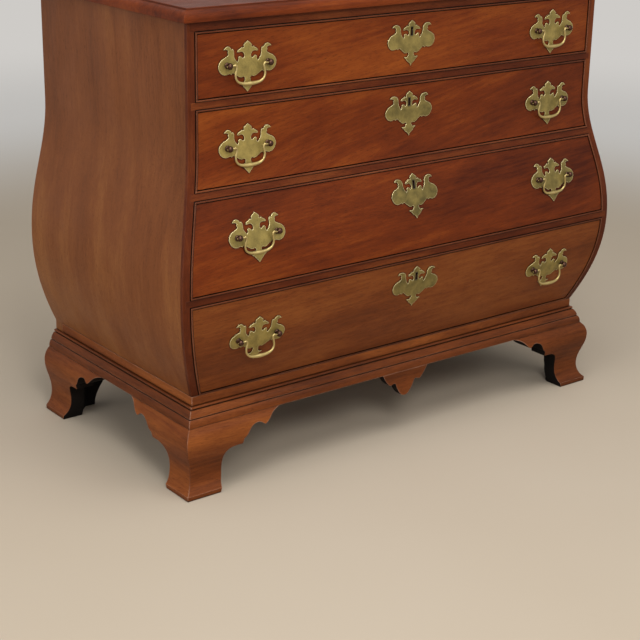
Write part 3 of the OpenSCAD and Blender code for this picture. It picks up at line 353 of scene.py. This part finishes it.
def add_grain(obj, seed, tilt, level_wear_and_highlight, shade, fade, knee):
    """Gives every solid its own board: the grain follows its longest side, and its tone fades along that
    side, partly as painted light.
    The knee of a foot is lighter than its shin, as lighter wood and painted light from above, and knee
    and toe get the palest edges, as abrasion and painted highlights."""
    mesh = obj.data
    place, groups = solids_of(mesh)
    chance = random.Random(seed)
    grain = np.zeros_like(place)
    tone = np.zeros(len(place))
    edge_wear_and_highlight = np.ones(len(place))
    for group in groups:
        part = place[group]
        size = part.max(0) - part.min(0)
        if size[2] < size[0]:
            edge_wear_and_highlight[group] = level_wear_and_highlight
        order = np.argsort(-size, kind="stable")
        local = part[:, order]
        middle = (local.max(0) + local.min(0)) / 2
        turn = math.radians(tilt + chance.uniform(-1.0, 1.0))
        flat = local - middle
        x = flat[:, 0] * math.cos(turn) + flat[:, 1] * math.sin(turn)
        y = -flat[:, 0] * math.sin(turn) + flat[:, 1] * math.cos(turn)
        offset = [chance.uniform(0, 40) for _ in range(3)]
        grain[group] = np.stack([x, y, flat[:, 2]], 1) + offset
        along = flat[:, 0] / (size.max() / 2)
        tone[group] = chance.uniform(-BOARD_TONES, BOARD_TONES) + shade - fade * along
        if knee:
            faces_front = size[0] > size[1]
            share = 1.0 if faces_front else SIDE_KNEE
            tone[group] += knee * share * np.interp(part[:, 2], *KNEE_LIGHT_AND_TONE)
            edge_wear_and_highlight[group] = np.interp(part[:, 2], *FOOT_WEAR_AND_HIGHLIGHT)
    vectors = mesh.attributes.new("grain", "FLOAT_VECTOR", "POINT")
    vectors.data.foreach_set("vector", grain.astype(np.float32).ravel())
    write_levels(mesh, "tone", tone)
    write_levels(mesh, "edge_wear_and_highlight", edge_wear_and_highlight)


def add_plate_light(mesh, tones, keyhole):
    """Painted light and shade of the three plates of a drawer as tones, from left to right, and the
    height of its keyhole.
    """
    across = vertex_places(mesh)[:, 0]
    outer = np.where(across < 0, tones[0], tones[2])
    write_levels(mesh, "tone", np.where(np.abs(across) < MIDDLE_PLATE, tones[1], outer))
    write_levels(mesh, "keyhole", np.full(len(across), keyhole))


def sort_faces(mesh, looks, choose):
    """Gives every face one of the looks: choose turns its normal and its middle into a number."""
    mesh.materials.clear()
    for look in looks:
        mesh.materials.append(LOOKS[look])
    mesh.polygons.foreach_set("material_index", [choose(f.normal, f.center) for f in mesh.polygons])


WELD_DISTANCE = 5e-6
FLAT_ANGLE = math.radians(0.2)
EDGE_ANGLE = math.radians(28)
BEVEL_SEGMENTS = 2


def finish_node(obj, look, bevel):
    """Carries a CAD node into the picture: soft edges on top of its own mesh, and its material."""
    mesh = obj.data
    if "custom_normal" in mesh.attributes:
        mesh.attributes.remove(mesh.attributes["custom_normal"])
    mesh.polygons.foreach_set("use_smooth", [True] * len(mesh.polygons))
    mesh.materials.clear()
    mesh.materials.append(LOOKS[look])
    weld = obj.modifiers.new("weld", "WELD")
    weld.merge_threshold = WELD_DISTANCE
    if bevel:
        flat = obj.modifiers.new("flat", "DECIMATE")
        flat.decimate_type = "DISSOLVE"
        flat.angle_limit = FLAT_ANGLE
        edge = obj.modifiers.new("edge", "BEVEL")
        edge.width = bevel
        edge.segments = BEVEL_SEGMENTS
        edge.limit_method = "ANGLE"
        edge.angle_limit = EDGE_ANGLE
        edge.use_clamp_overlap = True
    even = obj.modifiers.new("even", "WEIGHTED_NORMAL")
    even.keep_sharp = True


# The look of a node and the width of its soft edges
NODE_LOOKS = {
    "base_moulding": ("moulding_wood", 0.0003),
    "plinth_band": ("moulding_wood", 0.0003),
    "foot_front_left": ("moulding_wood", 0.0003),
    "foot_front_right": ("moulding_wood", 0.0003),
    "foot_rear_left": ("moulding_wood", 0.0003),
    "foot_rear_right": ("moulding_wood", 0.0003),
    "pendant": ("moulding_wood", 0.0004),
    "front_stiles": ("rail_mahogany", 0.0003),
    "drawer_rails": ("rail_mahogany", 0.0004),
    "cock_beads": ("bead_mahogany", 0.0005),
    "drawer_4_front": ("lower_mahogany", 0.0005),
    "top_board": ("mahogany", 0.001),
    "top_rail": ("rail_mahogany", 0.0006),
    "side_left": ("side_mahogany", 0.0005),
    "side_right": ("side_mahogany", 0.0005),
}
# Slant of the grain in degrees, seed of the board, and tone: all over, from end to end, on the knee
TILTS = {"drawer_2_front": 13, "drawer_3_front": 6, "drawer_4_front": 3, "drawer_1_front": 8,
         "side_left": 2, "side_right": -3}
SEEDS = {"drawer_2_front": 201, "drawer_3_front": 309, "drawer_4_front": 401}
# Tone all over: the front right and rear left feet are darkened as painted shade, where the light falls
# off; the other entries set the colour of the boards
SHADES = {"foot_front_right": -0.12, "foot_rear_left": -0.08, "foot_front_left": -0.04,
          "base_moulding": -0.1, "plinth_band": 0.1, "side_left": -0.02, "drawer_2_front": -0.04,
          "drawer_4_front": 0.02}
# From end to end: the drawer fronts darken to the right, partly painted shade and partly figure; the
# sides are painted darker at the top and lighter at the bottom, as painted light; the stiles darken
# towards the bottom
FADES = {"drawer_2_front": 0.12, "drawer_3_front": 0.05, "side_left": 0.14, "side_right": 0.14,
         "front_stiles": -0.12}
# On the knee: lighter wood and painted light from above, strongest on the front left foot
KNEES = {"foot_front_left": 0.36, "foot_rear_left": 0.2, "foot_front_right": 0.05, "foot_rear_right": 0.1}
# Share of the pale edge colour, abrasion and painted highlights, on level beads
LEVEL_BEAD_WEAR_AND_HIGHLIGHT = 0.45
SLOT_BEVELS = {"mahogany": 0.0006, "side_mahogany": 0.0006, "secondary_wood": 0.0006,
               "drawer_lining": 0.0005, "blackened_wood": 0.0008, "brass": 0.0003, "steel": 0.0003}
WOODS = {"mahogany", "lower_mahogany", "rail_mahogany", "bead_mahogany", "side_mahogany",
         "secondary_wood", "drawer_lining", "blackened_wood", "moulding_wood"}

for number, (name, obj) in enumerate(sorted(nodes.items())):
    slot = obj.data.materials[0].name.split(".")[0]
    look, bevel = NODE_LOOKS.get(name, (slot, SLOT_BEVELS[slot]))
    if name.endswith("_posts"):
        look, bevel = "post_brass", 0
    if look in WOODS:
        add_grain(obj, SEEDS.get(name, number), TILTS.get(name, 0),
                  level_wear_and_highlight=LEVEL_BEAD_WEAR_AND_HIGHLIGHT if name == "cock_beads" else 1.0,
                  shade=SHADES.get(name, 0), fade=FADES.get(name, 0), knee=KNEES.get(name, 0))
    if "bail" not in name:
        finish_node(obj, look, bevel)

# Least share of a normal for a face that slants outwards, and for one that looks straight on
OUTWARD = 0.2
SQUARE_ON = 0.5

# The plates are painted lighter and darker one by one, as painted light and shade, and the inside of a
# keyhole is painted near-black, as painted shade
PLATE_LIGHT_AND_SHADE = {1: (0.05, -0.1, 0.0), 2: (0.18, -0.15, -0.1), 3: (0.0, -0.28, -0.17), 4: (0.04, -0.22, 0.0)}
KEYHOLE_DROP = 0.0198
KEYHOLE_HALF_WIDTH = 0.004
KEYHOLE_HALF_HEIGHT = 0.009
for k, tones in PLATE_LIGHT_AND_SHADE.items():
    plates = nodes[f"drawer_{k}_plates"].data
    tip = max(v.co.z for v in plates.vertices if abs(v.co.x) < KEYHOLE_HALF_WIDTH)
    keyhole = tip - KEYHOLE_DROP
    add_plate_light(plates, tones, keyhole)

    def keyhole_face(normal, middle):
        inside = abs(middle.x) < KEYHOLE_HALF_WIDTH and abs(middle.z - keyhole) < KEYHOLE_HALF_HEIGHT
        return 1 if inside and abs(normal.y) < SQUARE_ON else 0

    # The keyhole's inside walls get the painted shade
    sort_faces(plates, ("brass", "keyhole_shade_brass"), keyhole_face)

# The feet and the pendant are painted black wherever they are sawn or turned inwards, and the
# plain rear bracket of a rear foot is bare wood at the back
SIDE_BRACKET = 0.045
for side, x in (("left", -1), ("right", 1)):
    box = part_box("foot_front_" + side)
    corner = box[0][0] if x < 0 else box[1][0]

    def front_face(normal, middle):
        past_x = abs(middle.x - corner)
        past_y = middle.y - box[0][1]
        outward = -normal.y if past_y < past_x else normal.x * x
        return 0 if outward > OUTWARD else 1

    sort_faces(nodes["foot_front_" + side].data, ("moulding_wood", "blackened_wood"), front_face)

    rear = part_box("foot_rear_" + side)
    inner = (abs(rear[0][0]) if x < 0 else abs(rear[1][0])) - SIDE_BRACKET

    def rear_face(normal, middle):
        if middle.x * x < inner:
            return 2 if normal.y > SQUARE_ON else 1
        return 0 if normal.x * x > OUTWARD or normal.y > SQUARE_ON else 1

    sort_faces(nodes["foot_rear_" + side].data, ("moulding_wood", "blackened_wood", "secondary_wood"),
               rear_face)
sort_faces(nodes["pendant"].data, ("moulding_wood", "blackened_wood"),
           lambda normal, middle: 0 if normal.y < -SQUARE_ON else 1)


# Bails, turned finer than their solids

def smooth_chain(points, steps):
    """Points of a smooth curve through the given ones."""
    ends = [2 * points[0] - points[1]] + list(points) + [2 * points[-1] - points[-2]]
    out = []
    for a, b, c, d in zip(ends, ends[1:], ends[2:], ends[3:]):
        for i in range(steps):
            t = i / steps
            out.append(0.5 * (2 * b + (c - a) * t + (2 * a - 5 * b + 4 * c - d) * t * t
                              + (3 * b - a - 3 * c + d) * t ** 3))
    return out + [points[-1]]


PIN_RADIUS = 1.8
# Places on half of a bail from the middle of the grip to its pin, each with the radius there, in
# millimetres from its axis
HALF_BAIL = [(0, -32.0, 3.7), (9, -31.8, 3.2), (18.5, -30.3, 2.6), (25.3, -27.0, 2.1), (29.0, -22.0, 1.9),
             (30.0, -16.0, 1.9), (28.8, -9.0, 1.9), (27.6, -4.5, 1.9), (28.2, -1.0, 1.9),
             (30.4, 0.6, 1.9), (33.0, 0.0, PIN_RADIUS)]
POST_HALF_SPAN = 41.5
PIN_REACH = 4.6
CURVE_STEPS = 6
RING = 24
GRIP_HALF = 0.002


def bail_mesh(name):
    half = smooth_chain([np.array(p, float) for p in HALF_BAIL], CURVE_STEPS)
    half += [np.array((POST_HALF_SPAN + PIN_REACH, 0.0, PIN_RADIUS))]
    path = [p * (-1, 1, 1) for p in reversed(half[1:])] + half
    count = len(path)
    verts = []
    for i, p in enumerate(path):
        ahead = path[min(i + 1, count - 1)] - path[max(i - 1, 0)]
        heading = math.atan2(ahead[1], ahead[0])
        for j in range(RING):
            turn = 2 * math.pi * j / RING
            verts.append(((p[0] - p[2] * math.cos(turn) * math.sin(heading)) / 1000,
                          -p[2] * math.sin(turn) / 1000,
                          (p[1] + p[2] * math.cos(turn) * math.cos(heading)) / 1000))
    faces = []
    for i in range(count - 1):
        for j in range(RING):
            k = (j + 1) % RING
            faces.append((i * RING + j, i * RING + k, (i + 1) * RING + k, (i + 1) * RING + j))
    faces.append(tuple(range(RING)))
    faces.append(tuple((count - 1) * RING + j for j in reversed(range(RING))))
    mesh = bpy.data.meshes.new(name)
    mesh.from_pydata(verts, [], faces)
    mesh.validate()
    mesh.polygons.foreach_set("use_smooth", [True] * len(mesh.polygons))
    mesh.materials.append(LOOKS["bail_brass"])
    return mesh


for k in DRAWERS:
    for side in ("left", "right"):
        name = f"drawer_{k}_bail_{side}"
        pivot = Vector(joints[name + "_swing"]["pos_m"])
        mesh = bail_mesh(name + "_casting")
        place = vertex_places(nodes[name].data)
        grip = place[np.abs(place[:, 0] - pivot.x) < GRIP_HALF].mean(0)
        lean = math.atan2(-(grip[1] - pivot.y), -(grip[2] - pivot.z))
        bail = bpy.data.objects.new(name + "_casting", mesh)
        bpy.context.scene.collection.objects.link(bail)
        mesh.transform(Matrix.Translation(pivot) @ Matrix.Rotation(lean, 4, "X"))
        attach(bail, name)
        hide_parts(name)


# Floor, light and camera

BACKDROP = rgb(206, 203, 199)
FLOOR = rgb(180, 167, 149)
FLOOR_PATCH = rgb(196, 186, 172)
FLOOR_FAR = rgb(238, 237, 235)
FLOOR_HALF = 14.0
LAMP_COLOUR = (1.0, 0.98, 0.95)
LEFT_COLOUR = (1.0, 0.98, 0.96)
ROOM_COLOUR = (1.0, 0.985, 0.96, 1.0)
ROOM_LIGHT = 0.36


def seen_rays(tree):
    """One for the rays that see the backdrop: straight from the camera, or over metal."""
    rays = tree.nodes.new("ShaderNodeLightPath")
    total = rays.outputs["Is Camera Ray"]
    for kind in ("Is Glossy Ray", "Is Transmission Ray"):
        either = tree.nodes.new("ShaderNodeMath")
        either.operation = "ADD"
        either.use_clamp = True
        tree.links.new(total, either.inputs[0])
        tree.links.new(rays.outputs[kind], either.inputs[1])
        total = either.outputs[0]
    return total


def floor_look():
    """A plain floor that runs out into the backdrop."""
    s = Shader("floor")
    place = s.node("ShaderNodeTexCoord").outputs["Object"]
    cloud = s.noise(place, (0.9, 0.9, 0.9), 3.0, 0.5)
    far = s.node("ShaderNodeVectorMath", {0: place}, operation="LENGTH").outputs["Value"]
    base = s.mix(s.span(cloud, 0.3, 0.7, 0.0, 0.3), FLOOR, FLOOR_PATCH)
    base = s.mix(s.span(far, 1.5, 3.0, smooth=True), base, FLOOR_FAR)
    s.surface(Base_Color=base, Roughness=0.8, Specular_IOR_Level=0.2)
    lit = s.output.inputs[0].links[0].from_socket
    glow = s.node("ShaderNodeEmission", {"Color": BACKDROP, "Strength": 1.0}).outputs[0]
    away = s.math("MULTIPLY", s.span(far, 2.2, 4.5, smooth=True), seen_rays(s.tree))
    faded = s.node("ShaderNodeMixShader", {0: away, 1: lit, 2: glow}).outputs[0]
    s.tree.links.new(faded, s.output.inputs[0])
    return s.material


mesh = bpy.data.meshes.new("floor")
corners = [(x * FLOOR_HALF, y * FLOOR_HALF, 0) for x, y in ((-1, -1), (1, -1), (1, 1), (-1, 1))]
mesh.from_pydata(corners, [], [(0, 1, 2, 3)])
mesh.materials.append(floor_look())
floor = bpy.data.objects.new("floor", mesh)
bpy.context.scene.collection.objects.link(floor)


def area_light(name, place, target, size, power, colour):
    """A round lamp at a place, turned to its target."""
    data = bpy.data.lights.new(name, "AREA")
    data.shape = "DISK"
    data.size = size
    data.energy = power
    data.color = colour
    lamp = bpy.data.objects.new(name, data)
    lamp.location = place
    lamp.rotation_mode = "QUATERNION"
    lamp.rotation_quaternion = (Vector(target) - Vector(place)).to_track_quat("-Z", "Y")
    bpy.context.scene.collection.objects.link(lamp)


area_light("overhead", (-0.3, -0.9, 3.2), (-0.1, -0.1, 0.4), 2.4, 62, LAMP_COLOUR)
area_light("front_left", (-1.2, -2.3, 1.9), (-0.2, -0.25, 0.4), 0.9, 30, LAMP_COLOUR)
area_light("front_right", (1.6, -3.4, 2.3), (0, 0, 0.4), 1.6, 16, LAMP_COLOUR)
area_light("left", (-3.2, -0.6, 1.4), (0, 0, 0.4), 2.0, 30, LEFT_COLOUR)

world = bpy.data.worlds.new("studio")
bpy.context.scene.world = world
world.use_nodes = True
tree = world.node_tree
tree.nodes.clear()
out = tree.nodes.new("ShaderNodeOutputWorld")
lit = tree.nodes.new("ShaderNodeBackground")
lit.inputs[0].default_value = ROOM_COLOUR
lit.inputs[1].default_value = ROOM_LIGHT
seen = tree.nodes.new("ShaderNodeBackground")
seen.inputs[0].default_value = BACKDROP
seen.inputs[1].default_value = 1.0
pick = tree.nodes.new("ShaderNodeMixShader")
tree.links.new(seen_rays(tree), pick.inputs[0])
tree.links.new(lit.outputs[0], pick.inputs[1])
tree.links.new(seen.outputs[0], pick.inputs[2])
tree.links.new(pick.outputs[0], out.inputs[0])

YAW, PITCH, ROLL = (math.radians(a) for a in (38.00473, 19.52928, 1.06364))
CAMERA_PLACE = (-1.80982, -2.28961, 1.20126)
FOCAL_PIXELS = 1512.685
PICTURE_PIXELS = 640
SENSOR = 36.0
forward = Vector((math.sin(YAW) * math.cos(PITCH), math.cos(YAW) * math.cos(PITCH), -math.sin(PITCH)))
level = forward.cross(Vector((0, 0, 1))).normalized()
above = level.cross(forward)
right = level * math.cos(ROLL) + above * math.sin(ROLL)
up = -level * math.sin(ROLL) + above * math.cos(ROLL)
view = bpy.data.cameras.new("camera")
view.sensor_width = SENSOR
view.lens = FOCAL_PIXELS / PICTURE_PIXELS * SENSOR
view.clip_start = 0.05
camera = bpy.data.objects.new("camera", view)
camera.matrix_world = Matrix((
    (right.x, up.x, -forward.x, CAMERA_PLACE[0]),
    (right.y, up.y, -forward.y, CAMERA_PLACE[1]),
    (right.z, up.z, -forward.z, CAMERA_PLACE[2]),
    (0, 0, 0, 1)))
bpy.context.scene.collection.objects.link(camera)
bpy.context.scene.camera = camera
bpy.context.scene.view_settings.view_transform = "Standard"
